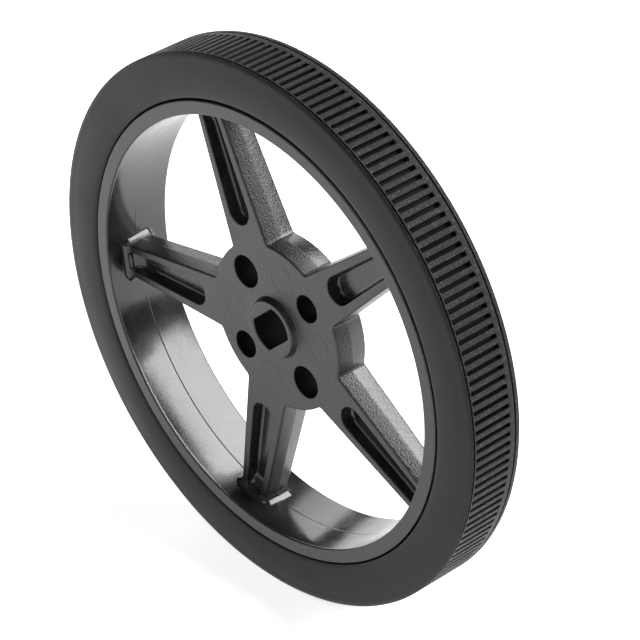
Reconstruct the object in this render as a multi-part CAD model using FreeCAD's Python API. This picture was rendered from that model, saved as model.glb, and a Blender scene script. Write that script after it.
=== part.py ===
import FreeCAD, Part
import math
import os

# Robot car wheel: a moulded plastic wheel and the rubber tyre stretched over it.
# Everything is drawn lying flat, with the spin axis along Z and the outer face up.
# The last step turns the wheel upright: the spin axis becomes Y, the outer face looks along -Y
# and the origin stays at the wheel's centre. All sizes are in millimetres.

V = FreeCAD.Vector

# Tyre: a solid rubber ring with cross slots.
tyre_d = 65.0            # outside diameter, which also sets the rim
tyre_w = 7.5             # width along the axis
tyre_proud = 0.1         # how far the tyre stands in front of the lip
tyre_wall = 5.35         # height of the sidewall outside the lip
seat_clear = 0.02        # radial clearance between tyre and seat
bead_clear = 0.05        # clearance along the axis to the lip and to the back flange
lip_gap = 0.25           # dark gap around the front lip
shoulder_bevel = 0.4     # bevel from the sidewall to the tread
slot_count = 180
slot_share = 0.4         # slot width as a share of the pitch
slot_l = 4.9             # slot length along the axis
slot_front = 0.85        # from the tyre's front to the slots
slot_depth = 0.5
line_w = 0.2             # the fine line that runs round the tyre beside each shoulder
line_depth = 0.15
line_front = 0.55        # from the tyre's front to the front line
line_back = 0.95         # from the tyre's back to the back line

# Rim: the ring that carries the tyre.
rim_w = 9.2              # width of the rim along the axis
seat_depth = 0.4         # from the lip's edge down to the seat under the tyre
rim_wall_front = 1.65    # radial width of the front lip's flat face
rim_wall_back = 1.2      # the same at the back, less for the mould core to leave
lip_t = 1.0              # thickness of the front lip along the axis
lip_bevel = 0.15         # bevel on the front lip's outer edge

# Hub.
hub_d = 19.9
hub_t = 4.1
edge_bevel = 0.25        # bevel of the hub's edges and of the spokes' outer edges
boss_base_d = 7.3        # round boss at the foot
boss_top_d = 6.8         # round boss at the top
boss_h = 0.8
boss_bevel = 0.15
socket_round_d = 5.5     # across the round sides of the shaft hole
socket_flats = 3.8       # across the flats of the shaft hole
socket_lead = 0.2        # bevel at the mouth of the flats
bolt_margin = 3.1        # from the hub's edge to the circle of the four holes
big_hole_d = 3.8
small_hole_d = 3.2
mark_d = 3.2             # round marks left by the ejector pins
mark_margin = 3.25       # from the hub's edge to the circle of the marks
mark_h = 0.08
mark_angle = 38.5        # from the spoke direction, in degrees

# Spokes: an H section with a rail on each side of a deep pocket, front and back.
spoke_count = 5
spoke_turn = 43.3        # angle of one spoke from X, in degrees
spoke_w_hub = 6.1        # width where the spoke leaves the hub
spoke_w_rim = 3.95       # width at the barrel
spoke_t_rim = 3.4        # thickness at the barrel; at the hub it is the hub's thickness
web_t = 1.2              # floor left between the two pockets
pocket_margin_hub = 1.95 # from the hub's edge to a pocket
pocket_margin_rim = 1.3  # from a pocket to the barrel
pocket_w_hub = 3.3       # pocket width at its start
pocket_w_rim = 2.3       # pocket width at its end
pocket_end_r = 0.6       # corner rounding of the pocket at the rim end
foot_bevel = 0.6         # collar where a spoke grows out of the barrel
corner_r = 0.4           # window corners at the hub

# Worked-out places.
lip_d = tyre_d - 2 * tyre_wall
seat_d = lip_d - 2 * seat_depth
barrel_d_front = lip_d - 2 * rim_wall_front
barrel_d_back = lip_d - 2 * rim_wall_back
bolt_pcd = hub_d - 2 * bolt_margin
mark_circle_d = hub_d - 2 * mark_margin
pocket_start = hub_d / 2 + pocket_margin_hub
pocket_end = barrel_d_front / 2 - pocket_margin_rim
half_rim = rim_w / 2
half_hub = hub_t / 2
tyre_front = half_rim + tyre_proud
tyre_back = tyre_front - tyre_w
lip_back = half_rim - lip_t
flange_front = tyre_back - bead_clear


def turned(points):
    """Revolve a closed outline of (radius, height) points about the axis."""
    corners = [V(r, 0, z) for r, z in points]
    wire = Part.makePolygon(corners + corners[:1])
    return Part.Face(wire).revolve(V(0, 0, 0), V(0, 0, 1), 360)


def rod(diameter, low, high, x=0.0, y=0.0):
    """Upright cylinder between two heights."""
    return Part.makeCylinder(diameter / 2, high - low, V(x, y, low))


def around(shape, angle):
    """Copy of a shape turned about the axis."""
    copy = shape.copy()
    copy.rotate(V(0, 0, 0), V(0, 0, 1), angle)
    return copy


def flipped(shape):
    """Copy of a shape mirrored to the back."""
    return shape.mirror(V(0, 0, 0), V(0, 0, 1))


def circle_edges(shape, diameter, height):
    """Round edges of one diameter at one height."""
    found = []
    for edge in shape.Edges:
        curve = edge.Curve
        if not isinstance(curve, Part.Circle):
            continue
        if abs(curve.Radius - diameter / 2) < 1e-4 and abs(curve.Center.z - height) < 1e-4:
            found.append(edge)
    return found


def between(start, end, r_start, r_end, r):
    """Value at radius r on the straight line between two radii."""
    return start + (end - start) * (r - r_start) / (r_end - r_start)


def spoke_half_width(r):
    """Half the width of a spoke at radius r."""
    return between(spoke_w_hub, spoke_w_rim, hub_d / 2, barrel_d_front / 2, r) / 2


def spoke_half_height(r):
    """Half the thickness of a spoke at radius r."""
    return between(hub_t, spoke_t_rim, hub_d / 2, barrel_d_front / 2, r) / 2


def make_rim():
    """Ring with a front lip, a seat for the tyre and a back flange."""
    outline = [
        (barrel_d_front / 2, half_rim),
        (lip_d / 2 - lip_bevel, half_rim),
        (lip_d / 2, half_rim - lip_bevel),
        (lip_d / 2, lip_back),
        (seat_d / 2, lip_back),
        (seat_d / 2, flange_front),
        (lip_d / 2, flange_front),
        (lip_d / 2, -half_rim),
        (barrel_d_back / 2, -half_rim),
    ]
    return turned(outline)


def make_pocket():
    """Tool that cuts one pocket from the front face of the spoke along X down to the web."""
    wide, thin = pocket_w_hub / 2, pocket_w_rim / 2
    arch, turn = pocket_start + wide, pocket_end - pocket_end_r
    flat = thin - pocket_end_r
    bend = pocket_end_r * (1 - math.sqrt(0.5))
    bend_x, bend_y = pocket_end - bend, thin - bend
    outline = Part.Wire([
        Part.Arc(V(arch, -wide, 0), V(pocket_start, 0, 0), V(arch, wide, 0)).toShape(),
        Part.makeLine(V(arch, wide, 0), V(turn, thin, 0)),
        Part.Arc(V(turn, thin, 0), V(bend_x, bend_y, 0), V(pocket_end, flat, 0)).toShape(),
        Part.makeLine(V(pocket_end, flat, 0), V(pocket_end, -flat, 0)),
        Part.Arc(V(pocket_end, -flat, 0), V(bend_x, -bend_y, 0), V(turn, -thin, 0)).toShape(),
        Part.makeLine(V(turn, -thin, 0), V(arch, -wide, 0)),
    ])
    tool = Part.Face(outline).extrude(V(0, 0, hub_t))
    tool.translate(V(0, 0, web_t / 2))
    return tool


def tapered_bar(r_start, r_end):
    """Bar along X that narrows and thins towards the rim, from its plan and its side view."""
    w_start, w_end = spoke_half_width(r_start), spoke_half_width(r_end)
    h_start, h_end = spoke_half_height(r_start), spoke_half_height(r_end)
    plan = [V(r_start, -w_start, 0), V(r_end, -w_end, 0), V(r_end, w_end, 0), V(r_start, w_start, 0)]
    side = [V(r_start, 0, -h_start), V(r_end, 0, -h_end), V(r_end, 0, h_end), V(r_start, 0, h_start)]
    tall = Part.Face(Part.makePolygon(plan + plan[:1])).extrude(V(0, 0, 2 * hub_t))
    tall.translate(V(0, 0, -hub_t))
    wide = Part.Face(Part.makePolygon(side + side[:1])).extrude(V(0, 2 * spoke_w_hub, 0))
    wide.translate(V(0, -spoke_w_hub, 0))
    return tall.common(wide)


def make_spoke():
    """One H-section spoke along X, from inside the hub to inside the rim."""
    bar = tapered_bar(hub_d / 4, (barrel_d_front + seat_d) / 4)
    long_edges = [e for e in bar.Edges if e.Length > hub_d / 2]
    bar = bar.makeChamfer(edge_bevel, long_edges)
    pocket = make_pocket()
    return bar.cut(pocket).cut(flipped(pocket))


def foot_edges(shape):
    """Edges where the spokes meet the barrel."""
    found = []
    for edge in shape.Edges:
        on_barrel = True
        for p in edge.discretize(7):
            r = math.hypot(p.x, p.y)
            barrel = between(barrel_d_front, barrel_d_back, half_rim, -half_rim, p.z) / 2
            on_barrel = on_barrel and abs(r - barrel) < 0.01 and abs(p.z) < half_hub
        if on_barrel:
            found.append(edge)
    return found


def corner_edges(shape):
    """Upright edges where a spoke's side meets the hub's side."""
    found = []
    for edge in shape.Edges:
        if not isinstance(edge.Curve, Part.Line) or edge.Length < hub_t / 2:
            continue
        a, b = edge.Vertexes[0].Point, edge.Vertexes[-1].Point
        upright = math.hypot(a.x - b.x, a.y - b.y) < 1e-4
        if upright and abs(math.hypot(a.x, a.y) - hub_d / 2) < 0.01:
            found.append(edge)
    return found


def make_socket():
    """Tool for the double-D shaft hole; the flats lie along the first spoke."""
    low, high = -half_hub - 1, half_hub + boss_h + 1
    hole = rod(socket_round_d, low, high)
    corner = V(-socket_round_d, -socket_flats / 2, low)
    slab = Part.makeBox(2 * socket_round_d, socket_flats, high - low, corner)
    hole = hole.common(slab)
    top = half_hub + boss_h
    side = socket_flats / 2
    bevel = [
        V(-socket_round_d, -side, top - socket_lead),
        V(-socket_round_d, -side - 2 * socket_lead, top + socket_lead),
        V(-socket_round_d, side + 2 * socket_lead, top + socket_lead),
        V(-socket_round_d, side, top - socket_lead),
    ]
    wedge = Part.Face(Part.makePolygon(bevel + bevel[:1])).extrude(V(2 * socket_round_d, 0, 0))
    lead = wedge.common(rod(socket_round_d, top - socket_lead, top + socket_lead))
    return around(hole.fuse(lead), spoke_turn)


def make_hub():
    """Thick disc with the boss, before the spokes join it."""
    disc = rod(hub_d, -half_hub, half_hub)
    edges = circle_edges(disc, hub_d, half_hub) + circle_edges(disc, hub_d, -half_hub)
    disc = disc.makeChamfer(edge_bevel, edges)
    boss = Part.makeCone(boss_base_d / 2, boss_top_d / 2, boss_h, V(0, 0, half_hub))
    boss = boss.makeChamfer(boss_bevel, circle_edges(boss, boss_top_d, half_hub + boss_h))
    return disc.fuse(boss)


def make_wheel_body():
    """Rim, spokes and hub as one moulding, with its holes."""
    spoke = make_spoke()
    spokes = [around(spoke, spoke_turn + k * 360 / spoke_count) for k in range(spoke_count)]
    body = make_rim().multiFuse(spokes + [make_hub()]).removeSplitter()
    body = body.makeChamfer(foot_bevel, foot_edges(body))
    body = body.makeFillet(corner_r, corner_edges(body))
    tools = [make_socket()]
    for k in range(4):
        angle = math.radians(spoke_turn + 90 * k)
        x, y = bolt_pcd / 2 * math.cos(angle), bolt_pcd / 2 * math.sin(angle)
        size = big_hole_d if k % 2 else small_hole_d
        tools.append(rod(size, -hub_t, hub_t, x, y))
    for tool in tools:
        body = body.cut(tool)
    marks = []
    for turn in (mark_angle, -mark_angle, 180 + mark_angle, 180 - mark_angle):
        angle = math.radians(spoke_turn + turn)
        x, y = mark_circle_d / 2 * math.cos(angle), mark_circle_d / 2 * math.sin(angle)
        marks.append(rod(mark_d, half_hub - mark_h, half_hub + mark_h, x, y))
    return body.multiFuse(marks).removeSplitter()


def make_tyre():
    """Rubber ring with bevelled shoulders, fine lines and cross slots."""
    bore = seat_d / 2 + seat_clear
    mouth = lip_d / 2 + lip_gap
    outer = tyre_d / 2
    step = lip_back - bead_clear
    slot_top = tyre_front - slot_front
    front_line, back_line = tyre_front - line_front, tyre_back + line_back
    outline = [
        (bore, step),
        (mouth, step),
        (mouth, tyre_front),
        (outer - shoulder_bevel, tyre_front),
        (outer, tyre_front - shoulder_bevel),
        (outer, front_line + line_w / 2),
        (outer - line_depth, front_line),
        (outer, front_line - line_w / 2),
        (outer, back_line + line_w / 2),
        (outer - line_depth, back_line),
        (outer, back_line - line_w / 2),
        (outer, tyre_back + shoulder_bevel),
        (outer - shoulder_bevel, tyre_back),
        (bore, tyre_back),
    ]
    ring = turned(outline)
    slot_w = slot_share * math.pi * tyre_d / slot_count
    corner = V(outer - slot_depth, -slot_w / 2, slot_top - slot_l)
    slot = Part.makeBox(slot_depth + 1, slot_w, slot_l, corner)
    slots = [around(slot, k * 360 / slot_count) for k in range(slot_count)]
    return ring.cut(Part.makeCompound(slots))


def upright(shape):
    """Turn the finished piece so that its axis is Y and its outer face looks along -Y."""
    shape.rotate(V(0, 0, 0), V(1, 0, 0), 90)
    return shape


os.makedirs("parts", exist_ok=True)
for name, shape in (("wheel_body", make_wheel_body()), ("tyre", make_tyre())):
    solid = upright(shape.Solids[0])
    print(name, "solids", len(shape.Solids), "valid", solid.isValid(), "volume", round(solid.Volume, 1))
    solid.exportStep("parts/" + name + ".step")
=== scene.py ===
"""Looks of a robot car wheel: a black spoked moulding and the rubber tyre round it.

Every shape is first drawn lying flat, in millimetres: x and y in the plane of the wheel and
h along the spin axis, with h = 0 in the middle plane and the outer face up. One last step
turns it upright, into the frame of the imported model: X = x, Z = y and Y = -h, in metres.
"""

import logging
import math
from dataclasses import dataclass, field
from enum import Enum

import bmesh
import bpy
import numpy as np
from mathutils import Matrix, Vector
from mathutils.geometry import delaunay_2d_cdt


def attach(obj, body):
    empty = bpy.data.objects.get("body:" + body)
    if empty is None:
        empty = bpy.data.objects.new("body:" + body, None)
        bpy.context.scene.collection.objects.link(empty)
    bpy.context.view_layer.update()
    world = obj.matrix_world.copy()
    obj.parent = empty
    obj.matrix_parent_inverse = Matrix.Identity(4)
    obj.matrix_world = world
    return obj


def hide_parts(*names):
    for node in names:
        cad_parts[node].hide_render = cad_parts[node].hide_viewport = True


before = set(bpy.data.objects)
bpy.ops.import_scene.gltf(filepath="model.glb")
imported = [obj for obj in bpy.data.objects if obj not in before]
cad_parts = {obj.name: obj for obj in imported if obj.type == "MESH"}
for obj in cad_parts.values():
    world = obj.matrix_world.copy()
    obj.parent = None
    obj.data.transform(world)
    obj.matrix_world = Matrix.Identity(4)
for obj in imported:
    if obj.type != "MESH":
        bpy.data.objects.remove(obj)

log = logging.getLogger("wheel")
MM = 0.001
BODY = "root"
Point = tuple[float, float]


class Side(Enum):
    """The two faces of the wheel."""

    OUTER = 1
    INNER = -1


def to_frame(flat: np.ndarray) -> np.ndarray:
    """Turn flat (x, y, h) points in millimetres upright.

    Args:
        flat: an array of points, one a row.

    Returns:
        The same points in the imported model's frame, in metres.
    """
    return np.column_stack([flat[:, 0], -flat[:, 2], flat[:, 1]]) * MM


def make_piece(
    name: str,
    flat: np.ndarray,
    faces: list[tuple[int, ...]],
    sharp: float = 35.0,
    crease: np.ndarray | None = None,
    weld: float = 0.0,
) -> bpy.types.Object:
    """Make a mesh object from flat points.

    Args:
        name: the new object's name.
        flat: points (x, y, h) in millimetres.
        faces: corner numbers of each face, seen from outside counter-clockwise.
        sharp: the angle in degrees above which an edge stays crisp.
        crease: marks the points whose joining edges stay crisp at any angle.
        weld: points closer than this many millimetres become one.

    Returns:
        The object, linked to the scene.
    """
    mesh = bpy.data.meshes.new(name)
    mesh.from_pydata(to_frame(flat).tolist(), [], faces)
    if weld:
        joined = bmesh.new()
        joined.from_mesh(mesh)
        bmesh.ops.remove_doubles(joined, verts=joined.verts, dist=weld * MM)
        joined.to_mesh(mesh)
        joined.free()
    mesh.validate()
    mesh.shade_smooth()
    mesh.set_sharp_from_angle(angle=math.radians(sharp))
    if crease is not None:
        for edge in mesh.edges:
            if crease[edge.vertices[0]] and crease[edge.vertices[1]]:
                edge.use_edge_sharp = True
    piece = bpy.data.objects.new(name, mesh)
    bpy.context.scene.collection.objects.link(piece)
    return piece


def arc(centre: Point, radius: float, start: float, end: float, step: float = 6.0) -> list[Point]:
    """Points along an arc.

    Args:
        centre: its centre.
        radius: its radius.
        start: first angle in degrees.
        end: last angle in degrees.
        step: the largest step between points, in degrees.

    Returns:
        The points, ends included.
    """
    count = max(1, math.ceil(abs(end - start) / step))
    angles = [math.radians(start + (end - start) * k / count) for k in range(count + 1)]
    return [(centre[0] + radius * math.cos(a), centre[1] + radius * math.sin(a)) for a in angles]


def turned(points: np.ndarray, angle: float) -> np.ndarray:
    """Copy of plan points turned about the axis by an angle in degrees."""
    c, s = math.cos(math.radians(angle)), math.sin(math.radians(angle))
    return points @ np.array([[c, s], [-s, c]])


def shifted(loop: np.ndarray, distance: float) -> np.ndarray:
    """Closed loop moved sideways.

    Args:
        loop: the loop's points.
        distance: how far it moves, to the left of its direction of travel.

    Returns:
        The moved loop, with as many points.
    """
    ahead = np.roll(loop, -1, 0) - loop
    ahead /= np.linalg.norm(ahead, axis=1)[:, None] + 1e-12
    along = ahead + np.roll(ahead, 1, 0)
    along /= np.linalg.norm(along, axis=1)[:, None] + 1e-12
    corner = np.clip(np.einsum("ij,ij->i", along, ahead), 0.5, 1.0)
    normal = np.column_stack([-along[:, 1], along[:, 0]])
    return loop + normal * (distance / corner)[:, None]


def distance_to(loops: list[np.ndarray], points: np.ndarray) -> np.ndarray:
    """Distance from each point to the nearest of some closed loops.

    Args:
        loops: the closed loops.
        points: plan points, one a row.

    Returns:
        One distance for each point.
    """
    best = np.full(len(points), 1e9)
    for loop in loops:
        a, b = loop, np.roll(loop, -1, 0)
        d = b - a
        length = np.maximum((d**2).sum(1), 1e-12)
        for k in range(len(a)):
            t = np.clip(((points - a[k]) @ d[k]) / length[k], 0, 1)
            off = points - a[k] - t[:, None] * d[k]
            best = np.minimum(best, np.hypot(off[:, 0], off[:, 1]))
    return best


def inside(loop: np.ndarray, points: np.ndarray) -> np.ndarray:
    """Whether each point lies within a closed loop.

    Args:
        loop: the closed loop.
        points: plan points, one a row.

    Returns:
        One truth value for each point.
    """
    a, b = loop, np.roll(loop, -1, 0)
    result = np.zeros(len(points), bool)
    x, y = points[:, 0], points[:, 1]
    for (ax, ay), (bx, by) in zip(a, b):
        if ay == by:
            continue
        crossing = (ay > y) != (by > y)
        result ^= crossing & (x < (bx - ax) * (y - ay) / (by - ay) + ax)
    return result


def quarter(depth: np.ndarray, radius: np.ndarray) -> np.ndarray:
    """Drop of a rounded edge: radius at the rim of the rounding, nothing a radius further in."""
    near = np.clip(radius - depth, 0, radius)
    return radius - np.sqrt(np.maximum(radius**2 - near**2, 0))


class Shader:
    """Short calls for building a material's nodes."""

    def __init__(self, name: str) -> None:
        """Start a material that has one principled shader."""
        self.material = bpy.data.materials.new(name)
        self.material.use_nodes = True
        self.tree = self.material.node_tree
        self.tree.nodes.clear()
        self.surface = self.tree.nodes.new("ShaderNodeBsdfPrincipled")
        output = self.tree.nodes.new("ShaderNodeOutputMaterial")
        self.link(self.surface.outputs["BSDF"], output.inputs["Surface"])
        self.place = self.tree.nodes.new("ShaderNodeTexCoord").outputs["Object"]

    def link(self, source: bpy.types.NodeSocket, target: bpy.types.NodeSocket) -> None:
        """Join two sockets."""
        self.tree.links.new(source, target)

    def fill(self, socket: bpy.types.NodeSocket, value: object) -> None:
        """Give an input a link or a plain value."""
        if isinstance(value, bpy.types.NodeSocket):
            self.link(value, socket)
        else:
            socket.default_value = value

    def math(self, kind: str, *values: object) -> bpy.types.NodeSocket:
        """Add a maths node.

        Args:
            kind: the operation's name.
            values: up to three links or numbers.

        Returns:
            The node's result.
        """
        node = self.tree.nodes.new("ShaderNodeMath")
        node.operation = kind
        for socket, value in zip(node.inputs, values):
            self.fill(socket, value)
        return node.outputs[0]

    def noise(self, scale: float, detail: float = 3.0, roughness: float = 0.5) -> bpy.types.NodeSocket:
        """Add noise on the piece's own coordinates.

        Args:
            scale: features are about 1 / scale metres across.
            detail: how many finer layers it has.
            roughness: how strong the finer layers are.

        Returns:
            The noise, around 0.5.
        """
        node = self.tree.nodes.new("ShaderNodeTexNoise")
        self.fill(node.inputs["Vector"], self.place)
        node.inputs["Scale"].default_value = scale
        node.inputs["Detail"].default_value = detail
        node.inputs["Roughness"].default_value = roughness
        return node.outputs["Fac"]

    def spread(
        self, value: object, low: float, high: float, out_low: object, out_high: object
    ) -> bpy.types.NodeSocket:
        """Map a value smoothly from one range to another, held at the ends.

        Args:
            value: the value to map.
            low: where its range starts.
            high: where its range ends.
            out_low: result at the start.
            out_high: result at the end.

        Returns:
            The mapped value.
        """
        node = self.tree.nodes.new("ShaderNodeMapRange")
        node.interpolation_type = "SMOOTHSTEP"
        names = ("Value", "From Min", "From Max", "To Min", "To Max")
        for name, item in zip(names, (value, low, high, out_low, out_high)):
            self.fill(node.inputs[name], item)
        return node.outputs["Result"]

    def blend(self, amount: object, first: object, second: object) -> bpy.types.NodeSocket:
        """Blend two colours.

        Args:
            amount: 0 for the first colour, 1 for the second.
            first: a colour or a link.
            second: a colour or a link.

        Returns:
            The blended colour.
        """
        node = self.tree.nodes.new("ShaderNodeMix")
        node.data_type = "RGBA"
        self.fill(node.inputs["Factor"], amount)
        for name, item in (("A", first), ("B", second)):
            socket = [s for s in node.inputs if s.name == name and s.type == "RGBA"][0]
            self.fill(socket, item)
        return [s for s in node.outputs if s.type == "RGBA"][0]

    def bump(self, height: object, distance: float, under: object = None) -> bpy.types.NodeSocket:
        """Tilt the surface by a height pattern.

        Args:
            height: the pattern.
            distance: how high a pattern value of 1 stands, in metres.
            under: another bump that this one lies on.

        Returns:
            The tilted normal.
        """
        node = self.tree.nodes.new("ShaderNodeBump")
        node.inputs["Strength"].default_value = 1.0
        node.inputs["Distance"].default_value = distance
        self.fill(node.inputs["Height"], height)
        if under is not None:
            self.fill(node.inputs["Normal"], under)
        return node.outputs["Normal"]

    def attribute(self, name: str) -> bpy.types.NodeSocket:
        """Read the value that the mesh stores on its points under a name."""
        node = self.tree.nodes.new("ShaderNodeAttribute")
        node.attribute_name = name
        return node.outputs["Fac"]

    def radius_and_height(self) -> tuple[bpy.types.NodeSocket, bpy.types.NodeSocket]:
        """Distance from the spin axis, and height towards the outer face, both in metres."""
        parts = self.tree.nodes.new("ShaderNodeSeparateXYZ")
        self.fill(parts.inputs[0], self.place)
        x2, z2 = (self.math("POWER", parts.outputs[axis], 2.0) for axis in ("X", "Z"))
        radius = self.math("SQRT", self.math("ADD", x2, z2))
        return radius, self.math("MULTIPLY", parts.outputs["Y"], -1.0)


@dataclass(frozen=True)
class WheelPlastic:
    """Black moulded plastic: eroded grain on the faces, polished barrel and pockets."""

    dark: tuple = (0.006, 0.006, 0.007, 1.0)
    light: tuple = (0.014, 0.014, 0.015, 1.0)
    face_roughness: float = 0.34
    barrel_roughness: float = 0.17
    specular: float = 0.6
    back_polish: float = 0.55
    pocket_polish: float = 0.8
    grain: float = 4600.0
    grain_depth: float = 0.000060
    polished_grain: float = 0.06
    polish: str = "polish"

    def build(self, barrel_r: float, front: float) -> bpy.types.Material:
        """Make the material.

        Args:
            barrel_r: radius in metres where the polished barrel begins.
            front: height in metres of the lip's face.

        Returns:
            The finished material.
        """
        s = Shader("wheel_plastic")
        radius, height = s.radius_and_height()
        in_barrel = s.spread(radius, barrel_r - 0.0003, barrel_r - 0.0001, 0.0, 1.0)
        below_lip = s.spread(height, front - 0.0004, front - 0.0001, 1.0, 0.0)
        polished = s.math("MULTIPLY", in_barrel, below_lip)
        back_half = s.spread(height, -0.0002, 0.0002, self.back_polish, 0.0)
        on_spider = s.math("SUBTRACT", 1.0, in_barrel)
        polished = s.math("MAXIMUM", polished, s.math("MULTIPLY", back_half, on_spider))
        in_pocket = s.math("MULTIPLY", s.attribute(self.polish), self.pocket_polish)
        polished = s.math("MAXIMUM", polished, in_pocket)
        cloud = s.noise(260.0, 4.0)
        grain = s.noise(self.grain, 2.0, 0.6)
        colour = s.blend(s.spread(cloud, 0.3, 0.7, 0.0, 1.0), self.dark, self.light)
        s.fill(s.surface.inputs["Base Color"], colour)
        rough = s.spread(polished, 0.0, 1.0, self.face_roughness, self.barrel_roughness)
        rough = s.math("ADD", rough, s.spread(cloud, 0.3, 0.7, -0.035, 0.035))
        rough = s.math("ADD", rough, s.spread(grain, 0.35, 0.75, -0.02, 0.07))
        s.fill(s.surface.inputs["Roughness"], rough)
        s.surface.inputs["Specular IOR Level"].default_value = self.specular
        fine = s.math("MULTIPLY", grain, s.spread(polished, 0.0, 1.0, 1.0, self.polished_grain))
        flow = s.bump(s.noise(90.0, 3.0), 0.00010)
        s.fill(s.surface.inputs["Normal"], s.bump(fine, self.grain_depth, flow))
        return s.material


@dataclass(frozen=True)
class BoreShade:
    """Painted shade in the narrow holes: the black plastic made darker and duller there, where no light
    comes back out.
    """

    dark: tuple = (0.0008, 0.0008, 0.0008, 1.0)
    light: tuple = (0.0020, 0.0020, 0.0020, 1.0)
    roughness: float = 0.8
    specular: float = 0.06

    def build(self) -> bpy.types.Material:
        """Make the material.

        Returns:
            The finished material.
        """
        s = Shader("wheel_plastic_bore_painted_shade")
        # Painted shade: a near-black base colour and a low specular level on the bore walls stand in for
        # the shade inside the holes.
        s.fill(s.surface.inputs["Base Color"], s.blend(s.noise(900.0), self.dark, self.light))
        s.surface.inputs["Roughness"].default_value = self.roughness
        s.surface.inputs["Specular IOR Level"].default_value = self.specular
        s.fill(s.surface.inputs["Normal"], s.bump(s.noise(3000.0), 0.00002))
        return s.material


@dataclass(frozen=True)
class TyreRubber:
    """Black rubber: smooth moulded sidewalls and a dull tread with speckled bars, with painted shade
    inside the slots.
    """

    dark: tuple = (0.004, 0.004, 0.004, 1.0)
    light: tuple = (0.010, 0.010, 0.010, 1.0)
    dust: tuple = (0.075, 0.075, 0.075, 1.0)
    # Painted shade: near-black colour for the inside of the tread slots.
    painted_slot_shade: tuple = (0.0008, 0.0008, 0.0008, 1.0)
    side_roughness: float = 0.40
    tread_roughness: float = 0.52
    specular: float = 0.22

    def build(self, tread_r: float, slots: tuple[float, float]) -> bpy.types.Material:
        """Make the material.

        Args:
            tread_r: radius in metres of the tread's surface.
            slots: heights in metres of the slots' back and front ends.

        Returns:
            The finished material.
        """
        s = Shader("tyre_rubber")
        radius, height = s.radius_and_height()
        tread = s.spread(radius, tread_r - 0.00012, tread_r - 0.00004, 0.0, 1.0)
        cloud = s.noise(180.0, 4.0)
        fine = s.noise(5200.0, 3.0, 0.7)
        speck = s.noise(3600.0, 3.0, 0.75)
        base = s.blend(s.spread(cloud, 0.3, 0.7, 0.0, 1.0), self.dark, self.light)
        specks = s.math("MULTIPLY", s.spread(speck, 0.52, 0.68, 0.0, 0.75), tread)
        past_back = s.spread(height, slots[0] - 0.0001, slots[0], 0.0, 1.0)
        before_front = s.spread(height, slots[1], slots[1] + 0.0001, 1.0, 0.0)
        in_slots = s.math("MULTIPLY", past_back, before_front)
        # Painted shade: slot walls and floors below the tread get the near-black colour for the shade
        # inside them; the same mask also roughens them.
        sunk = s.spread(radius, tread_r - 0.0004, tread_r - 0.00014, 1.0, 0.0)
        slot_shade_mask = s.math("MULTIPLY", sunk, in_slots)
        s.fill(s.surface.inputs["Base Color"], s.blend(slot_shade_mask, s.blend(specks, base, self.dust), self.painted_slot_shade))
        rough = s.spread(tread, 0.0, 1.0, self.side_roughness, self.tread_roughness)
        rough = s.math("ADD", rough, s.math("MULTIPLY", slot_shade_mask, 0.45))
        rough = s.math("ADD", rough, s.spread(cloud, 0.3, 0.7, -0.05, 0.06))
        s.fill(s.surface.inputs["Roughness"], rough)
        s.surface.inputs["Specular IOR Level"].default_value = self.specular
        waves = s.bump(s.noise(120.0, 3.0), 0.00012)
        grit = s.math("MULTIPLY", fine, s.spread(tread, 0.0, 1.0, 0.22, 1.6))
        s.fill(s.surface.inputs["Normal"], s.bump(grit, 0.00006, waves))
        return s.material


@dataclass(frozen=True)
class FloorPaint:
    """Plain pale floor with the faintest cloud in it."""

    colour: tuple = (0.92, 0.92, 0.92, 1.0)
    shade: tuple = (0.90, 0.90, 0.90, 1.0)
    roughness: float = 0.9
    specular: float = 0.1
    glow: float = 0.7

    def build(self) -> bpy.types.Material:
        """Make the material.

        Returns:
            The finished material.
        """
        s = Shader("pale_floor")
        s.fill(s.surface.inputs["Base Color"], s.blend(s.noise(6.0), self.colour, self.shade))
        s.surface.inputs["Roughness"].default_value = self.roughness
        s.surface.inputs["Specular IOR Level"].default_value = self.specular
        s.surface.inputs["Emission Color"].default_value = (1.0, 1.0, 1.0, 1.0)
        s.surface.inputs["Emission Strength"].default_value = self.glow
        return s.material


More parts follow.
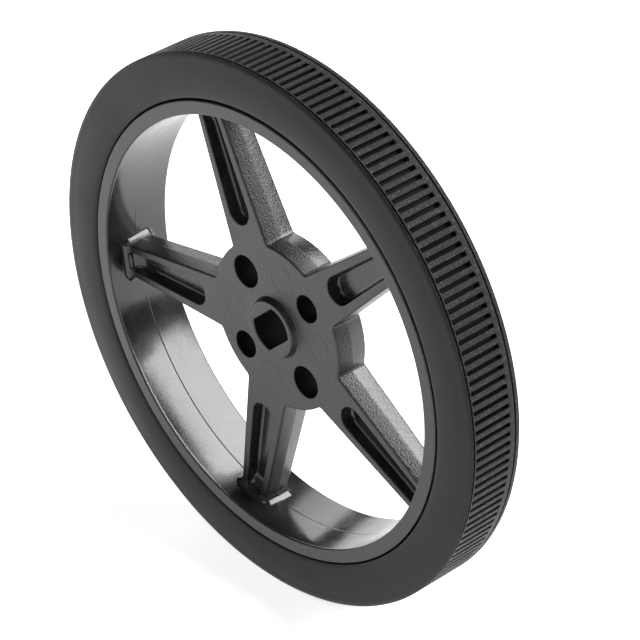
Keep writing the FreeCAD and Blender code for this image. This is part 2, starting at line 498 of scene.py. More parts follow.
@dataclass
class Rim:
    """The ring that carries the tyre, made by turning one outline. Sizes in millimetres."""

    half_width: float = 4.6
    lip_r: float = 27.15
    seat_r: float = 26.75
    barrel_front_r: float = 25.5
    barrel_back_r: float = 25.95
    lip_thick: float = 1.0
    flange_front: float = -2.85
    edge: float = 0.2
    parting_h: float = 0.1
    parting_step: float = 0.03
    segments: int = 360

    def barrel_r(self, h: float) -> float:
        """Barrel radius at a height.

        Args:
            h: the height above the middle plane.

        Returns:
            The radius.
        """
        share = (self.half_width - h) / (2 * self.half_width)
        return self.barrel_front_r + (self.barrel_back_r - self.barrel_front_r) * share

    def outline(self) -> list[Point]:
        """Draw the section of the ring.

        Returns:
            Closed outline of (radius, height) points, clockwise with the radius to the right.
        """
        w, e = self.half_width, self.edge
        front_in = self.barrel_r(w) + e
        back_in = self.barrel_r(-w) + e
        p = arc((front_in, w - e), e, 180, 90, 22.5)
        p += [(front_in + 0.05, w), (self.lip_r - e - 0.05, w)]
        p += arc((self.lip_r - e, w - e), e, 90, 0, 22.5)
        p += [(self.lip_r, w - self.lip_thick), (self.seat_r, w - self.lip_thick)]
        p += [(self.seat_r, self.flange_front), (self.lip_r, self.flange_front)]
        p += arc((self.lip_r - e, e - w), e, 0, -90, 22.5)
        p += [(self.lip_r - e - 0.05, -w), (back_in + 0.05, -w)]
        p += arc((back_in, e - w), e, -90, -180, 22.5)
        step = self.parting_step
        for h in (self.parting_h - 0.12, self.parting_h - 0.06):
            p.append((self.barrel_r(h), h))
        p.append((self.barrel_r(self.parting_h) - step, self.parting_h))
        for h in (self.parting_h + 0.06, self.parting_h + 0.12):
            p.append((self.barrel_r(h) - step / 2, h))
        return p

    def mesh(self) -> tuple[np.ndarray, list[tuple[int, ...]]]:
        """Points and faces of the ring."""
        return lathe(self.outline(), self.segments)


def lathe(outline: list[Point], segments: int) -> tuple[np.ndarray, list[tuple[int, ...]]]:
    """Turn a closed outline about the axis.

    Args:
        outline: (radius, height) points, clockwise with the radius to the right.
        segments: how many steps a turn has.

    Returns:
        The points and the faces, which look outwards.
    """
    profile = np.array(outline)
    angles = np.arange(segments) * 2 * math.pi / segments
    x = np.outer(np.cos(angles), profile[:, 0]).ravel()
    y = np.outer(np.sin(angles), profile[:, 0]).ravel()
    h = np.tile(profile[:, 1], segments)
    n = len(profile)
    faces = []
    for k in range(segments):
        a, b = k * n, (k + 1) % segments * n
        for i in range(n):
            j = (i + 1) % n
            faces.append((a + i, a + j, b + j, b + i))
    return np.column_stack([x, y, h]), faces


@dataclass
class Spider:
    """Hub and spokes: one plate with rounded edges, pockets and holes. Sizes in millimetres."""

    spokes: int = 5
    turn: float = 43.3
    hub_r: float = 9.95
    hub_h: float = 2.05
    rim_h: float = 1.7
    half_hub_w: float = 3.05
    half_rim_w: float = 1.975
    edge: float = 0.25
    corner: float = 0.5
    foot: float = 1.0
    barrel_r: float = 25.725
    barrel_slope: float = 0.0489
    sunk: float = 0.03
    web: float = 0.5
    pocket_start: float = 11.9
    pocket_end: float = 25.3
    pocket_half_start: float = 1.65
    pocket_half_end: float = 1.15
    pocket_mouth: float = 0.14
    pocket_draft: float = 0.12
    pocket_floor: float = 0.35
    pocket_corner: float = 0.5
    pocket_rise: float = 1.9
    bolt_circle_r: float = 6.85
    big_hole_r: float = 1.9
    small_hole_r: float = 1.6
    hole_edge: float = 0.12
    boss_base_r: float = 3.65
    boss_top_r: float = 3.4
    boss_h: float = 0.8
    boss_edge: float = 0.16
    boss_fillet_w: float = 0.2
    boss_fillet_h: float = 0.06
    socket_r: float = 2.75
    socket_flat: float = 1.9
    socket_edge: float = 0.15
    mark_circle_r: float = 6.7
    mark_r: float = 1.6
    mark_angle: float = 38.5
    mark_ridge: float = 0.03
    mark_line_w: float = 0.05
    wall_lean: float = 0.13
    parting_w: float = 0.1
    overlap: float = 0.5
    windows: list[np.ndarray] = field(default_factory=list)
    pockets: list[np.ndarray] = field(default_factory=list)
    holes: list[np.ndarray] = field(default_factory=list)

    def half_width(self, x: float) -> float:
        """Half the spoke's width.

        Args:
            x: distance from the axis.

        Returns:
            Half the width there.
        """
        share = (x - self.hub_r) / (self.barrel_r - self.hub_r)
        return self.half_hub_w + (self.half_rim_w - self.half_hub_w) * share

    def side(self) -> list[Point]:
        """Draw the upper side of a spoke that lies along x.

        Returns:
            Its points, from the hub's corner rounding to the barrel.
        """
        tilt = math.atan2(self.half_rim_w - self.half_hub_w, self.barrel_r - self.hub_r)
        slope = math.degrees(tilt)
        corner = self.touching(self.corner, self.hub_r + self.corner, tilt)
        start = math.degrees(math.atan2(corner[1], corner[0])) + 180
        points = arc(corner, self.corner, start, 270 + slope, 8)
        reach = self.barrel_r + self.sunk - self.foot
        foot = self.touching(self.foot, reach, tilt)
        end = math.degrees(math.atan2(foot[1], foot[0]))
        first = points[-1][0]
        last = foot[0] + self.foot * math.sin(tilt)
        for k in range(1, 12):
            x = first + (last - first) * k / 12
            points.append((x, self.half_width(x)))
        points += arc(foot, self.foot, 270 + slope, 360 + end, 8)
        return points

    def touching(self, radius: float, reach: float, tilt: float) -> Point:
        """Place a circle so that it touches a spoke's side.

        Args:
            radius: the circle's radius.
            reach: distance of its centre from the axis.
            tilt: slope of the spoke's side, as an angle.

        Returns:
            Its centre.
        """
        low, high = 0.0, reach
        for _ in range(60):
            y = (low + high) / 2
            x = math.sqrt(max(reach**2 - y**2, 0))
            gap = (y - self.half_width(x)) * math.cos(tilt)
            low, high = (y, high) if gap < radius else (low, y)
        return x, y

    def window(self, index: int) -> np.ndarray:
        """Draw the window after one spoke.

        Args:
            index: which spoke.

        Returns:
            Its outline, clockwise, so that the plate lies to its left.
        """
        pitch = 360 / self.spokes
        first = np.array(self.side())
        second = turned(first * [1, -1], pitch)[::-1]
        a0 = math.degrees(math.atan2(first[-1][1], first[-1][0]))
        a1 = math.degrees(math.atan2(second[0][1], second[0][0]))
        outer = np.array(arc((0, 0), self.barrel_r + self.sunk, a0, a1, 1.0))[1:-1]
        b0 = math.degrees(math.atan2(second[-1][1], second[-1][0]))
        b1 = math.degrees(math.atan2(first[0][1], first[0][0]))
        inner = np.array(arc((0, 0), self.hub_r, b0, b1, 2.5))[1:-1]
        loop = np.vstack([first, outer, second, inner])[::-1]
        return turned(loop, self.turn + index * pitch)

    def pocket(self, index: int) -> np.ndarray:
        """Draw one pocket.

        Args:
            index: which spoke it lies in.

        Returns:
            Its outline, clockwise.
        """
        c, wide, thin = self.pocket_corner, self.pocket_half_start, self.pocket_half_end
        start, end = self.pocket_start + wide, self.pocket_end - c
        shares = [k / 8 for k in range(1, 8)]
        upper = [(start + (end - start) * t, wide - (wide - thin) * t) for t in shares]
        loop = arc((start, 0), wide, 90, 270, 10)
        loop += [(x, -y) for x, y in upper]
        loop += arc((end, c - thin), c, 270, 360, 15)
        loop += arc((end, thin - c), c, 0, 90, 15)
        loop += upper[::-1]
        return turned(np.array(loop)[::-1], self.turn + index * 360 / self.spokes)

    def round_hole(self, radius: float, reach: float, angle: float) -> np.ndarray:
        """Draw a round hole.

        Args:
            radius: its radius.
            reach: distance of its centre from the axis.
            angle: direction of its centre from the first spoke, in degrees.

        Returns:
            Its outline, clockwise.
        """
        a = math.radians(self.turn + angle)
        loop = arc((reach * math.cos(a), reach * math.sin(a)), radius, 0, 352.5, 7.5)
        return np.array(loop)[::-1]

    def socket(self) -> np.ndarray:
        """Draw the double-flat shaft hole, its flats along the first spoke.

        Returns:
            Its outline, clockwise.
        """
        edge = math.degrees(math.asin(self.socket_flat / self.socket_r))
        right = arc((0, 0), self.socket_r, -edge, edge, 6)
        left = arc((0, 0), self.socket_r, 180 - edge, 180 + edge, 6)
        half = self.socket_r * math.cos(math.radians(edge))
        top = [(half * (1 - k / 3), self.socket_flat) for k in range(1, 6)]
        bottom = [(-x, -y) for x, y in top]
        return turned(np.array(right + top + left + bottom)[::-1], self.turn)

    def lay_out(self) -> None:
        """Draw every outline once."""
        self.windows = [self.window(k) for k in range(self.spokes)]
        self.pockets = [self.pocket(k) for k in range(self.spokes)]
        sizes = (self.small_hole_r, self.big_hole_r)
        self.holes = [self.round_hole(sizes[k % 2], self.bolt_circle_r, 90 * k) for k in range(4)]

    def contours(self) -> list[np.ndarray]:
        """Draw every line that the surfaces bend along.

        Returns:
            Closed loops of plan points.
        """
        lines = []
        for loop in self.windows:
            for share in (0.0, 0.08, 0.3, 0.6, 1.0, 1.25):
                lines.append(shifted(loop, self.edge * share))
            lines.append(shifted(loop, 0.5))
        for loop in self.pockets:
            for share in (1.35, 1.0, 0.6, 0.3, 0.08, 0.0):
                lines.append(shifted(loop, self.pocket_mouth * share))
            for depth in (0.0, 0.05, 0.14, self.pocket_floor, self.pocket_floor + 0.05):
                lines.append(shifted(loop, -self.pocket_draft - depth))
        for loop in self.holes + [self.socket()]:
            for share in (0.0, 0.1, 0.4, 1.0, 1.4):
                lines.append(shifted(loop, self.hole_edge * share))
        e = self.boss_edge
        for r in (self.boss_base_r + 0.2, self.boss_base_r + 0.08, self.boss_base_r, self.boss_top_r):
            lines.append(np.array(arc((0, 0), r, 0, 355, 5)))
        for share in (0.1, 0.35, 0.7, 1.0, 1.35):
            lines.append(np.array(arc((0, 0), self.boss_top_r - e * share, 0, 355, 5)))
        for centre in self.mark_centres():
            for r in [self.mark_r + off for off in (-0.14, -0.09, -0.03, 0.03, 0.09, 0.14)]:
                lines.append(np.array(arc(centre, r, 0, 352.5, 7.5)))
        return lines

    def mark_centres(self) -> list[Point]:
        """Find the places of the round marks left by the ejector pins.

        Returns:
            Their centres.
        """
        turns = (self.mark_angle, -self.mark_angle, 180 + self.mark_angle, 180 - self.mark_angle)
        angles = [math.radians(self.turn + a) for a in turns]
        reach = self.mark_circle_r
        return [(reach * math.cos(a), reach * math.sin(a)) for a in angles]

    def rings(self) -> list[np.ndarray]:
        """Draw the circles about the axis.

        Returns:
            The hub's crease, the foot's rise and the sunk outer edge.
        """
        steps = (1.0, 0.8, 0.55, 0.35, 0.2, 0.08, 0.0)
        radii = [self.hub_r + 0.06, self.hub_r - 0.04] + [self.barrel_r - self.foot * s for s in steps]
        loops = [np.array(arc((0, 0), r, 0, 359, 1.0)) for r in radii]
        return loops + [self.outer_edge()]

    def outer_edge(self) -> np.ndarray:
        """The plate's own outer edge, inside the rim."""
        return np.array(arc((0, 0), self.barrel_r + self.overlap, 0, 358, 2.0))

    def bars(self) -> list[np.ndarray]:
        """Draw lines across each pocket where its floor rises.

        Returns:
            Open lines of plan points.
        """
        lines = []
        for k in range(self.spokes):
            for share in (1.0, 0.8, 0.6, 0.42, 0.26, 0.13, 0.05):
                x = self.pocket_end - self.pocket_rise * share
                across = np.array([(x, -self.pocket_half_end), (x, 0.0), (x, self.pocket_half_end)])
                lines.append(turned(across, self.turn + k * 360 / self.spokes))
        return lines

    def plan(self) -> tuple[np.ndarray, np.ndarray]:
        """Split the plate's plan into triangles along all contours.

        Returns:
            The plan points and the triangles, counter-clockwise.
        """
        points: list[Vector] = []
        edges: list[tuple[int, int]] = []
        for loop in self.contours() + self.rings():
            first = len(points)
            points += [Vector(p) for p in loop.tolist()]
            edges += [(first + i, first + (i + 1) % len(loop)) for i in range(len(loop))]
        for line in self.bars():
            first = len(points)
            points += [Vector(p) for p in line.tolist()]
            edges += [(first + i, first + i + 1) for i in range(len(line) - 1)]
        found, _, triangles, *_ = delaunay_2d_cdt(points, edges, [], 1, 1e-5)
        flat = np.array([tuple(p) for p in found])
        tri = np.array([t for t in triangles if len(t) == 3])
        middle = flat[tri].mean(1)
        keep = np.hypot(middle[:, 0], middle[:, 1]) < self.barrel_r + self.overlap
        for loop in self.windows + self.holes + [self.socket()]:
            keep &= ~inside(loop, middle)
        tri = tri[keep]
        a, b, c = flat[tri[:, 0]], flat[tri[:, 1]], flat[tri[:, 2]]
        ab, ac = b - a, c - a
        backward = ab[:, 0] * ac[:, 1] - ab[:, 1] * ac[:, 0] < 0
        tri[backward] = tri[backward][:, ::-1]
        used, renumbered = np.unique(tri, return_inverse=True)
        return flat[used], renumbered.reshape(tri.shape)

    def heights(self, plan: np.ndarray, face: Side) -> np.ndarray:
        """Work out one face of the plate.

        Args:
            plan: plan points, one a row.
            face: the outer or the inner face.

        Returns:
            Distance of the face from the middle plane over each point.
        """
        r = np.hypot(plan[:, 0], plan[:, 1])
        share = np.clip((r - self.hub_r) / (self.barrel_r - self.hub_r), 0, 1)
        level = self.hub_h + (self.rim_h - self.hub_h) * share
        near = np.clip(self.foot - (self.barrel_r - r), 0, self.foot)
        rise = self.foot - np.sqrt(self.foot**2 - near**2)
        top = level + rise - quarter(distance_to(self.windows, plan), self.edge + rise)
        top = np.minimum(top, self.pocket_height(plan, top, level))
        if face is Side.OUTER:
            top = self.add_boss(plan, r, top)
            for centre in self.mark_centres():
                off = np.abs(np.hypot(plan[:, 0] - centre[0], plan[:, 1] - centre[1]) - self.mark_r)
                top = top + self.mark_ridge * (off < self.mark_line_w)
        bores = self.holes + ([self.socket()] if face is Side.OUTER else [])
        edge = np.full(len(plan), self.hole_edge)
        return top - quarter(distance_to(bores, plan), edge)

    def pocket_height(self, plan: np.ndarray, top: np.ndarray, level: np.ndarray) -> np.ndarray:
        """Sink the pockets into a face.

        Args:
            plan: plan points, one a row.
            top: the face's height without pockets.
            level: the spokes' height without roundings or the rise at the foot.

        Returns:
            Height inside the pockets, and the given height elsewhere.
        """
        result = top.copy()
        m, draft, f = self.pocket_mouth, self.pocket_draft, self.pocket_floor
        for k, loop in enumerate(self.pockets):
            inward = distance_to([loop], plan) * np.where(inside(loop, plan), 1, -1)
            along = turned(plan, -self.turn - k * 360 / self.spokes)[:, 0]
            near = np.clip(along - self.pocket_end + self.pocket_rise, 0, self.pocket_rise)
            floor = self.web + self.pocket_rise - np.sqrt(self.pocket_rise**2 - near**2)
            lip = top - quarter(-inward, np.full(len(plan), m))
            wall = level - m + (floor + f - level + m) * np.clip(inward / draft, 0, 1)
            depth = np.clip(inward - draft, 0, f)
            foot = floor + f - np.sqrt(np.maximum(f**2 - (f - depth) ** 2, 0))
            value = np.where(inward < 0, lip, np.where(inward < draft, wall, foot))
            result = np.where(inward > -m, np.minimum(value, result), result)
        return result

    def add_boss(self, plan: np.ndarray, r: np.ndarray, top: np.ndarray) -> np.ndarray:
        """Raise the round boss in the middle of the hub.

        Args:
            plan: plan points, one a row.
            r: their distances from the axis.
            top: the face's height without the boss.

        Returns:
            The height with the boss.
        """
        on_top = r < self.boss_top_r
        share = np.clip((self.boss_base_r - r) / (self.boss_base_r - self.boss_top_r), 0, 1)
        edge = np.full(len(plan), self.boss_edge)
        crown = self.boss_h - np.where(on_top, quarter(self.boss_top_r - r, edge), self.boss_edge)
        side = np.maximum((self.boss_h - self.boss_edge) * share, self.boss_fillet_h)
        fillet = np.clip(1 - (r - self.boss_base_r) / self.boss_fillet_w, 0, 1) ** 2 * self.boss_fillet_h
        return top + np.where(on_top, crown, np.where(r < self.boss_base_r, side, fillet))

    def add_walls(
        self, plan: np.ndarray, tri: np.ndarray, flat: np.ndarray, faces: list[tuple[int, ...]]
    ) -> tuple[np.ndarray, list[tuple[int, ...]]]:
        """Close the plate with walls that lean a little to the parting line at mid height.

        Args:
            plan: the plan points.
            tri: the plan's triangles.
            flat: points of the outer face, then of the inner face.
            faces: the faces of both.

        Returns:
            The points and faces with the walls added.
        """
        n = len(plan)
        sides = {(i, j) for a, b, c in tri.tolist() for i, j in ((a, b), (b, c), (c, a))}
        rim = [(i, j) for i, j in sides if (j, i) not in sides]
        outward = np.zeros((n, 2))
        for i, j in rim:
            d = plan[j] - plan[i]
            out = np.array([d[1], -d[0]]) / (np.hypot(*d) + 1e-12)
            outward[i] += out
            outward[j] += out
        outward /= np.linalg.norm(outward, axis=1)[:, None] + 1e-12
        r = np.hypot(plan[:, 0], plan[:, 1])
        open_air = (r > self.hub_r - 0.5) * np.clip((self.barrel_r - 0.3 - r) / 0.8, 0, 1)
        crest = plan + outward * (self.wall_lean * open_air)[:, None]
        edge_points = sorted({i for pair in rim for i in pair})
        upper = {p: len(flat) + k for k, p in enumerate(edge_points)}
        lower = {p: len(flat) + len(edge_points) + k for k, p in enumerate(edge_points)}
        half = self.parting_w / 2
        ridge = crest[edge_points]
        rows = [np.column_stack([ridge, np.full(len(ridge), h)]) for h in (half, -half)]
        for i, j in rim:
            faces.append((j, i, upper[i], upper[j]))
            faces.append((upper[j], upper[i], lower[i], lower[j]))
            faces.append((lower[j], lower[i], i + n, j + n))
        return np.vstack([flat, *rows]), faces

    def mesh(self) -> tuple[np.ndarray, list[tuple[int, ...]]]:
        """Make the plate: outer face, inner face and the walls between them.

        Returns:
            The points and the faces.
        """
        self.lay_out()
        plan, tri = self.plan()
        outer = np.column_stack([plan, self.heights(plan, Side.OUTER)])
        inner = np.column_stack([plan, -self.heights(plan, Side.INNER)])
        n = len(plan)
        faces = [tuple(t) for t in tri.tolist()] + [tuple(t) for t in (tri[:, ::-1] + n).tolist()]
        flat = np.vstack([outer, inner])
        flat, faces = self.add_walls(plan, tri, flat, faces)
        r = np.hypot(flat[:, 0], flat[:, 1])
        lean = np.clip((r - self.barrel_r + 2.0) / 2.0, 0, 1) ** 2
        grow = 1 - self.barrel_slope * flat[:, 2] * lean / np.maximum(r, 1)
        flat[:, :2] *= grow[:, None]
        return flat, faces


@dataclass
class WheelBody:
    """The whole moulding: rim, spokes and hub. Its holes lie a margin within the hub's edge."""

    rim: Rim = field(default_factory=Rim)
    spider: Spider = field(default_factory=Spider)
    finish: WheelPlastic = field(default_factory=WheelPlastic)
    # Painted shade material for the walls of the holes.
    bore_painted_shade: BoreShade = field(default_factory=BoreShade)
    bore_margin: float = 1.0
    wall_tilt: float = 0.3

    def mark_pockets(self, piece: bpy.types.Object, flat: np.ndarray) -> None:
        """Store on each point how far it belongs to a polished pocket, for the finish to read.

        Args:
            piece: the moulding.
            flat: its points, lying flat, in millimetres.
        """
        within = np.zeros(len(flat), np.float32)
        for loop in self.spider.pockets:
            within[inside(loop, flat[:, :2])] = 1.0
        attribute = piece.data.attributes.new(self.finish.polish, "FLOAT", "POINT")
        attribute.data.foreach_set("value", within)

    def paint_bore_shade(self, piece: bpy.types.Object) -> None:
        """Give the walls of the five holes the painted shade material, darker than the plastic.

        Args:
            piece: the moulding, which has its first finish already.
        """
        # Painted shade: the faces of the bore walls get the darker second material.
        piece.data.materials.append(self.bore_painted_shade.build())
        reach, face = (self.spider.hub_r - self.bore_margin) * MM, self.spider.hub_h * MM
        for polygon in piece.data.polygons:
            centre = polygon.center
            upright = abs(polygon.normal.y) < self.wall_tilt
            if upright and math.hypot(centre.x, centre.z) < reach and centre.y > -face:
                polygon.material_index = 1

    def build(self) -> bpy.types.Object:
        """Make and dress the moulding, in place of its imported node.

        Returns:
            The finished piece.
        """
        ring, ring_faces = self.rim.mesh()
        plate, plate_faces = self.spider.mesh()
        n = len(ring)
        faces = ring_faces + [tuple(i + n for i in f) for f in plate_faces]
        flat = np.vstack([ring, plate])
        parting = np.abs(flat[:, 2]) < self.spider.parting_w / 2 + 1e-4
        parting[:n] = False
        piece = make_piece("moulded_wheel", flat, faces, crease=parting)
        self.mark_pockets(piece, flat)
        plastic = self.finish.build(self.rim.barrel_front_r * MM, self.rim.half_width * MM)
        piece.data.materials.append(plastic)
        self.paint_bore_shade(piece)
        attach(piece, BODY)
        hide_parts("wheel_body")
        return piece


@dataclass
class Tyre:
    """Rubber ring with cross slots. Sizes in millimetres."""

    outer_r: float = 32.5
    bore_r: float = 26.77
    mouth_r: float = 27.28
    front: float = 4.7
    width: float = 7.5
    step_h: float = 3.55
    dome: float = 0.14
    toe: float = 0.17
    bore_edge: float = 0.25
    shoulder_r: float = 0.9
    shoulder_h: float = 0.3
    line_w: float = 0.22
    line_depth: float = 0.2
    line_front: float = 0.55
    line_back: float = 0.95
    slot_count: int = 180
    slot_share: float = 0.42
    slot_depth: float = 0.5
    slot_front: float = 0.85
    slot_l: float = 4.9
    bar_round: float = 0.09
    row_ease: float = 0.05
    weld: float = 0.004
    segments: int = 360
    finish: TyreRubber = field(default_factory=TyreRubber)

    def side(self, line: float) -> list[Point]:
        """Section from the mouth over a sidewall to the fine line, with heights below the face.

        Args:
            line: how far below the face the fine line lies.

        Returns:
            The (radius, height) points, in order outwards.
        """
        drop = self.dome
        reach = self.outer_r - self.shoulder_r
        crest, half = (self.mouth_r + reach) / 2, (reach - self.mouth_r) / 2
        points = [(self.mouth_r, -0.40), (self.mouth_r + 0.04, -0.27), (self.mouth_r + 0.14, -0.18)]
        points += [(crest + half * k / 5, -drop * (k / 5) ** 2) for k in range(-4, 5)]
        for x, y in arc((0, 0), 1.0, 90, 0, 11.25):
            points.append((reach + self.shoulder_r * x, -drop - self.shoulder_h * (1 - y)))
        w, d = self.line_w / 2, self.line_depth
        points += [(self.outer_r, w - line), (self.outer_r - d, w / 2 - line)]
        points += [(self.outer_r - d, -w / 2 - line), (self.outer_r, -w - line)]
        apart = [math.dist(p, q) > self.weld for p, q in zip(points, points[1:])]
        return points[:1] + [p for p, kept in zip(points[1:], apart) if kept]

    def ring(self) -> tuple[np.ndarray, list[tuple[int, ...]]]:
        """Make everything but the tread band: an open strip turned about the axis.

        Returns:
            The points and the faces.
        """
        back = self.front - self.width
        shoulder = self.outer_r - self.shoulder_r
        front_part = [(r, self.front + z) for r, z in self.side(self.line_front)]
        back_side = [(r, z) for r, z in self.side(self.line_back) if z > -self.toe or r > shoulder]
        back_part = [(r, back - z) for r, z in back_side]
        e = self.bore_edge
        closing = [(self.bore_r + e, back + self.dome), (self.bore_r, back + self.dome + e)]
        step = [(self.bore_r, self.step_h), (self.mouth_r, self.step_h)]
        outline = back_part[::-1] + closing + step + front_part
        points, faces = lathe(outline, self.segments)
        n = len(outline)
        open_strip = [f for f in faces if not (f[0] % n == n - 1 and f[1] % n == 0)]
        return points, open_strip

    def band(self) -> tuple[float, float]:
        """Heights of the tread band's front and back edges."""
        w = self.line_w / 2
        return self.front - self.line_front - w, self.front - self.width + self.line_back + w

    def tile(self) -> tuple[np.ndarray, list[tuple[int, ...]]]:
        """Make one pitch of the tread: half a bar, a slot and half a bar.

        Returns:
            The points and the faces.
        """
        high, low = self.band()
        pitch = 360 / self.slot_count
        half_slot = self.slot_share * pitch / 2
        ease = math.degrees(self.bar_round / self.outer_r)
        cols = [-pitch / 2, -half_slot - ease, -half_slot - ease * 0.3, -half_slot]
        drops = [0.0, 0.0, self.bar_round * 0.3, self.bar_round]
        drops += drops[::-1]
        cols += [-c for c in cols[::-1]]
        top = self.front - self.slot_front
        bottom = self.front - self.slot_front - self.slot_l
        rows = [top + self.row_ease, top, bottom, bottom - self.row_ease]
        points, faces = [], []

        def add(angle: float, radius: float, h: float) -> int:
            """Add a point and give its number."""
            a = math.radians(angle)
            points.append((radius * math.cos(a), radius * math.sin(a), h))
            return len(points) - 1

        grid = []
        for i, h in enumerate(rows):
            eased = i in (1, 2)
            grid.append([add(c, self.outer_r - (d if eased else 0.0), h) for c, d in zip(cols, drops)])
        for i in range(3):
            for j in range(7):
                if not (i == 1 and j == 3):
                    faces.append((grid[i][j], grid[i + 1][j], grid[i + 1][j + 1], grid[i][j + 1]))
        mouth = [grid[1][3], grid[2][3], grid[2][4], grid[1][4]]
        left, right = cols[3:5]
        places = ((left, top), (left, bottom), (right, bottom), (right, top))
        floor = [add(a, self.outer_r - self.slot_depth, h) for a, h in places]
        for k in range(4):
            faces.append((mouth[k], floor[k], floor[(k + 1) % 4], mouth[(k + 1) % 4])[::-1])
        faces.append(tuple(floor))
        ends = (-pitch / 2, 0.0, pitch / 2)
        upper = [add(a, self.outer_r, high) for a in ends]
        lower = [add(a, self.outer_r, low) for a in ends]
        faces.append((*reversed(upper), *grid[0]))
        faces.append((*lower, *reversed(grid[-1])))
        return np.array(points), faces

    def repeat(self, tile: bpy.types.Object, material: bpy.types.Material) -> bpy.types.Object:
        """Repeat one tread tile round the wheel with Geometry Nodes.

        Args:
            tile: the object that holds one pitch of the tread.
            material: the finish set on the result.

        Returns:
            A plain mesh object with the whole band.
        """
        tree = bpy.data.node_groups.new("tread_band", "GeometryNodeTree")
        face = tree.interface
        face.new_socket("Tile", in_out="INPUT", socket_type="NodeSocketGeometry")
        face.new_socket("Slot Count", in_out="INPUT", socket_type="NodeSocketInt")
        face.new_socket("Weld Distance", in_out="INPUT", socket_type="NodeSocketFloat")
        face.new_socket("Rubber", in_out="INPUT", socket_type="NodeSocketMaterial")
        face.new_socket("Band", in_out="OUTPUT", socket_type="NodeSocketGeometry")
        nodes, links = tree.nodes, tree.links
        given, result = nodes.new("NodeGroupInput"), nodes.new("NodeGroupOutput")
        points = nodes.new("GeometryNodePoints")
        links.new(given.outputs["Slot Count"], points.inputs["Count"])
        full = nodes.new("ShaderNodeMath")
        full.operation = "DIVIDE"
        full.inputs[0].default_value = 2 * math.pi
        links.new(given.outputs["Slot Count"], full.inputs[1])
        turn = nodes.new("ShaderNodeMath")
        turn.operation = "MULTIPLY"
        links.new(nodes.new("GeometryNodeInputIndex").outputs[0], turn.inputs[0])
        links.new(full.outputs[0], turn.inputs[1])
        about = nodes.new("ShaderNodeCombineXYZ")
        links.new(turn.outputs[0], about.inputs["Y"])
        copies = nodes.new("GeometryNodeInstanceOnPoints")
        links.new(points.outputs[0], copies.inputs["Points"])
        links.new(given.outputs["Tile"], copies.inputs["Instance"])
        links.new(about.outputs[0], copies.inputs["Rotation"])
        real = nodes.new("GeometryNodeRealizeInstances")
        links.new(copies.outputs[0], real.inputs[0])
        weld = nodes.new("GeometryNodeMergeByDistance")
        links.new(real.outputs[0], weld.inputs["Geometry"])
        links.new(given.outputs["Weld Distance"], weld.inputs["Distance"])
        dress = nodes.new("GeometryNodeSetMaterial")
        links.new(weld.outputs[0], dress.inputs["Geometry"])
        links.new(given.outputs["Rubber"], dress.inputs["Material"])
        links.new(dress.outputs[0], result.inputs["Band"])
        modifier = tile.modifiers.new("tread", "NODES")
        modifier.node_group = tree
        values = {
            "Slot Count": self.slot_count,
            "Weld Distance": self.weld * MM,
            "Rubber": material,
        }
        for item in face.items_tree:
            if item.in_out == "INPUT" and item.name in values:
                modifier[item.identifier] = values[item.name]
        graph = bpy.context.evaluated_depsgraph_get()
        mesh = bpy.data.meshes.new_from_object(tile.evaluated_get(graph))
        band = bpy.data.objects.new("tread_band", mesh)
        tile.modifiers.remove(modifier)
        return band

    def build(self) -> bpy.types.Object:
        """Make and dress the tyre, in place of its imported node.

        Returns:
            The finished piece.
        """
        slot_top = self.front - self.slot_front
        slots = ((slot_top - self.slot_l) * MM, slot_top * MM)
        material = self.finish.build(self.outer_r * MM, slots)
        points, faces = self.tile()
        tile = make_piece("tread_tile", points, faces)
        band = self.repeat(tile, material)
        bpy.data.objects.remove(tile)
        ring, ring_faces = self.ring()
        band_points = np.array([v.co for v in band.data.vertices])
        band_flat = np.column_stack([band_points[:, 0], band_points[:, 2], -band_points[:, 1]]) / MM
        band_faces = [tuple(p.vertices) for p in band.data.polygons]
        bpy.data.objects.remove(band)
        n = len(ring)
        everything = ring_faces + [tuple(i + n for i in f) for f in band_faces]
        flat = np.vstack([ring, band_flat])
        piece = make_piece("rubber_tyre", flat, everything, 40.0, weld=self.weld)
        piece.data.materials.append(material)
        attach(piece, BODY)
        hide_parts("tyre")
        return piece


@dataclass(frozen=True)
class Softbox:
    """One long soft light between two directions seen from the wheel. Sizes in metres."""

    name: str
    start: tuple
    end: tuple
    distance: float
    width: float
    radiance: float

    def hang(self) -> bpy.types.Object:
        """Hang the light, turned towards the wheel. Its radiance is a multiple of a white floor's.

        Returns:
            The light.
        """
        a, b = Vector(self.start).normalized(), Vector(self.end).normalized()
        away = (a + b).normalized()
        along = (b - a).normalized()
        length = 2 * self.distance * math.tan(a.angle(b) / 2)
        data = bpy.data.lights.new(self.name, "AREA")
        data.shape = "RECTANGLE"
        data.size, data.size_y = length, self.width
        data.energy = self.radiance * math.pi * length * self.width
        lamp = bpy.data.objects.new(self.name, data)
        turn = Matrix((along, away.cross(along), away)).transposed()
        lamp.matrix_world = Matrix.Translation(away * self.distance) @ turn.to_4x4()
        bpy.context.scene.collection.objects.link(lamp)
        return lamp


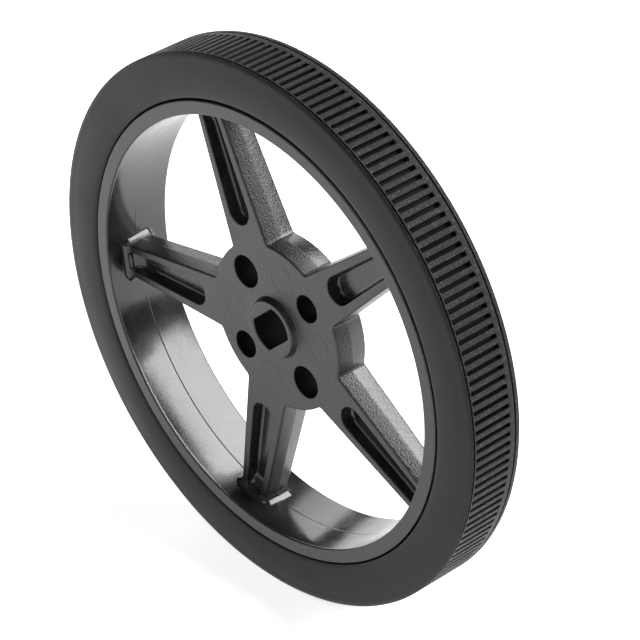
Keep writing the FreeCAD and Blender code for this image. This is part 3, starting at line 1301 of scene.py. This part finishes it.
@dataclass
class Studio:
    """Pale floor, soft light and the camera of the photograph. Sizes in metres."""

    floor_z: float = -0.0325
    floor_size: float = 6.0
    sky: float = 0.12
    azimuth: float = 47.306
    elevation: float = 33.793
    distance: float = 0.35465
    aim: tuple = (0.00228, 0.00242, -0.00005)
    roll: float = -0.592
    lens: float = 182.9
    sensor: float = 36.0
    paint: FloorPaint = field(default_factory=FloorPaint)
    softboxes: tuple = (
        Softbox("back_softbox", (0.76, 0.564, 0.32), (-0.16, 0.564, 0.80), 0.9, 0.42, 11.0),
        Softbox("left_softbox", (-0.62, 0.56, 0.55), (-0.82, 0.56, 0.20), 0.9, 0.40, 3.0),
        Softbox("front_fill", (-0.2, -0.75, 0.75), (0.7, -0.75, 0.75), 1.2, 0.8, 1.6),
    )

    def floor(self) -> None:
        """Lay the floor."""
        half, z = self.floor_size / 2, self.floor_z
        mesh = bpy.data.meshes.new("floor")
        square = [(-half, -half, z), (half, -half, z), (half, half, z), (-half, half, z)]
        mesh.from_pydata(square, [], [(0, 1, 2, 3)])
        mesh.materials.append(self.paint.build())
        piece = bpy.data.objects.new("floor", mesh)
        bpy.context.scene.collection.objects.link(piece)

    def lights(self) -> None:
        """Set the sky and the softboxes."""
        world = bpy.data.worlds.new("studio")
        world.use_nodes = True
        sky = world.node_tree.nodes["Background"]
        sky.inputs["Color"].default_value = (1.0, 1.0, 1.0, 1.0)
        sky.inputs["Strength"].default_value = self.sky
        bpy.context.scene.world = world
        for softbox in self.softboxes:
            softbox.hang()

    def camera(self) -> None:
        """Place the camera at the photograph's viewing angle."""
        a, e = math.radians(self.azimuth), math.radians(self.elevation)
        back = Vector((math.sin(a) * math.cos(e), -math.cos(a) * math.cos(e), math.sin(e)))
        data = bpy.data.cameras.new("camera")
        data.sensor_width = self.sensor
        data.lens = self.lens
        data.clip_start = 0.01
        data.dof.use_dof = False
        piece = bpy.data.objects.new("camera", data)
        roll = Matrix.Rotation(math.radians(self.roll), 3, "Z")
        turn = back.to_track_quat("Z", "Y").to_matrix() @ roll
        place = Vector(self.aim) + back * self.distance
        piece.matrix_world = Matrix.Translation(place) @ turn.to_4x4()
        bpy.context.scene.collection.objects.link(piece)
        bpy.context.scene.camera = piece

    def build(self) -> None:
        """Lay the floor, hang the lights and place the camera."""
        self.floor()
        self.lights()
        self.camera()
        bpy.context.scene.view_settings.view_transform = "Standard"


def main() -> None:
    """Build the wheel and its studio, and log each piece's face count."""
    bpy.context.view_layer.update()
    studio = Studio()
    studio.build()
    for part in (WheelBody(), Tyre()):
        piece = part.build()
        log.info("%s: %d faces", piece.name, len(piece.data.polygons))


if __name__ == "__main__":
    logging.basicConfig(level=logging.INFO, format="%(name)s: %(message)s")
    main()
